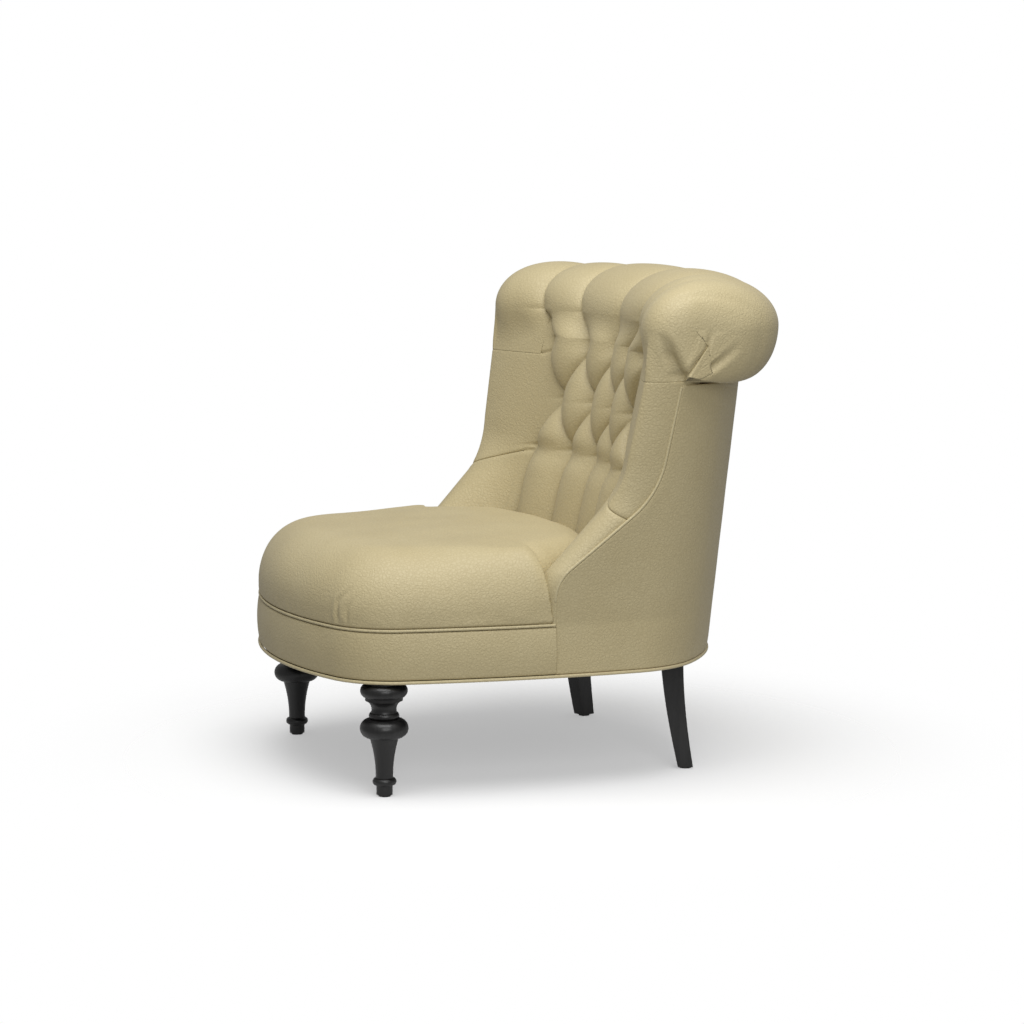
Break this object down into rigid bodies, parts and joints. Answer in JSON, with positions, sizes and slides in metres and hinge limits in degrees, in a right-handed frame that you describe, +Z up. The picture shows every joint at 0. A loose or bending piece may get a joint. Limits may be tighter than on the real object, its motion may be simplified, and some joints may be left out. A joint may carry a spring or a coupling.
{
  "type": "tufted leather slipper chair",
  "caption": "Low upholstered chair in leather: crowned seat between sloping arms, deep tufted back under a pleated scroll roll, turned front legs and sabre rear legs.",
  "frame": {"origin": "on the floor, midway between the outermost points of the chair to the sides and front to back", "axes": "+Z up, -Y towards the front of the seat, +X to the left hand of someone who sits in it"},
  "size_m": [0.81, 0.8724, 0.8482],
  "materials": {
    "leather": "grained khaki-beige leather with a soft sheen",
    "welt_leather": "the same leather drawn over a cord, a little lighter along its ridge",
    "foam": "open-cell foam",
    "webbing": "woven jute straps",
    "dust_cloth": "black cambric",
    "leg_wood": "black lacquered hardwood, satin",
    "frame_wood": "planed beech",
    "plywood": "bent birch plywood",
    "bolt_steel": "zinc plated",
    "glide_nylon": "moulded"
  },
  "bodies": {
    "root": {"apron_cover": "leather", "arm_cover_left": "leather", "arm_cover_right": "leather", "arm_foam_left": "foam", "arm_foam_right": "foam", "back_foam": "foam", "back_panel": "plywood", "back_post_left": "frame_wood", "back_post_right": "frame_wood", "back_webbing": "webbing", "bottom_welt": "welt_leather", "corner_block_front_left": "frame_wood", "corner_block_front_right": "frame_wood", "corner_block_rear_left": "frame_wood", "corner_block_rear_right": "frame_wood", "dust_cloth": "dust_cloth", "floor_glides": "glide_nylon", "front_leg_left": "leg_wood", "front_leg_right": "leg_wood", "front_rail": "frame_wood", "head_rail": "frame_wood", "left_rail": "frame_wood", "leg_bolts": "bolt_steel", "outside_back": "leather", "outside_left": "leather", "outside_right": "leather", "rear_leg_left": "leg_wood", "rear_leg_right": "leg_wood", "rear_rail": "frame_wood", "right_rail": "frame_wood", "roll_cover": "leather", "roll_foam": "foam", "roll_former_left": "plywood", "roll_former_middle": "plywood", "roll_former_right": "plywood", "seat_cover": "leather", "seat_foam": "foam", "seat_webbing": "webbing", "seat_welt": "welt_leather", "side_panel_left": "plywood", "side_panel_right": "plywood", "tacking_rail": "frame_wood", "tufted_back": "leather", "wing_cover_left": "leather", "wing_cover_right": "leather", "wing_foam_left": "foam", "wing_foam_right": "foam", "wing_welt_left": "welt_leather", "wing_welt_right": "welt_leather"}
  },
  "joints": []
}
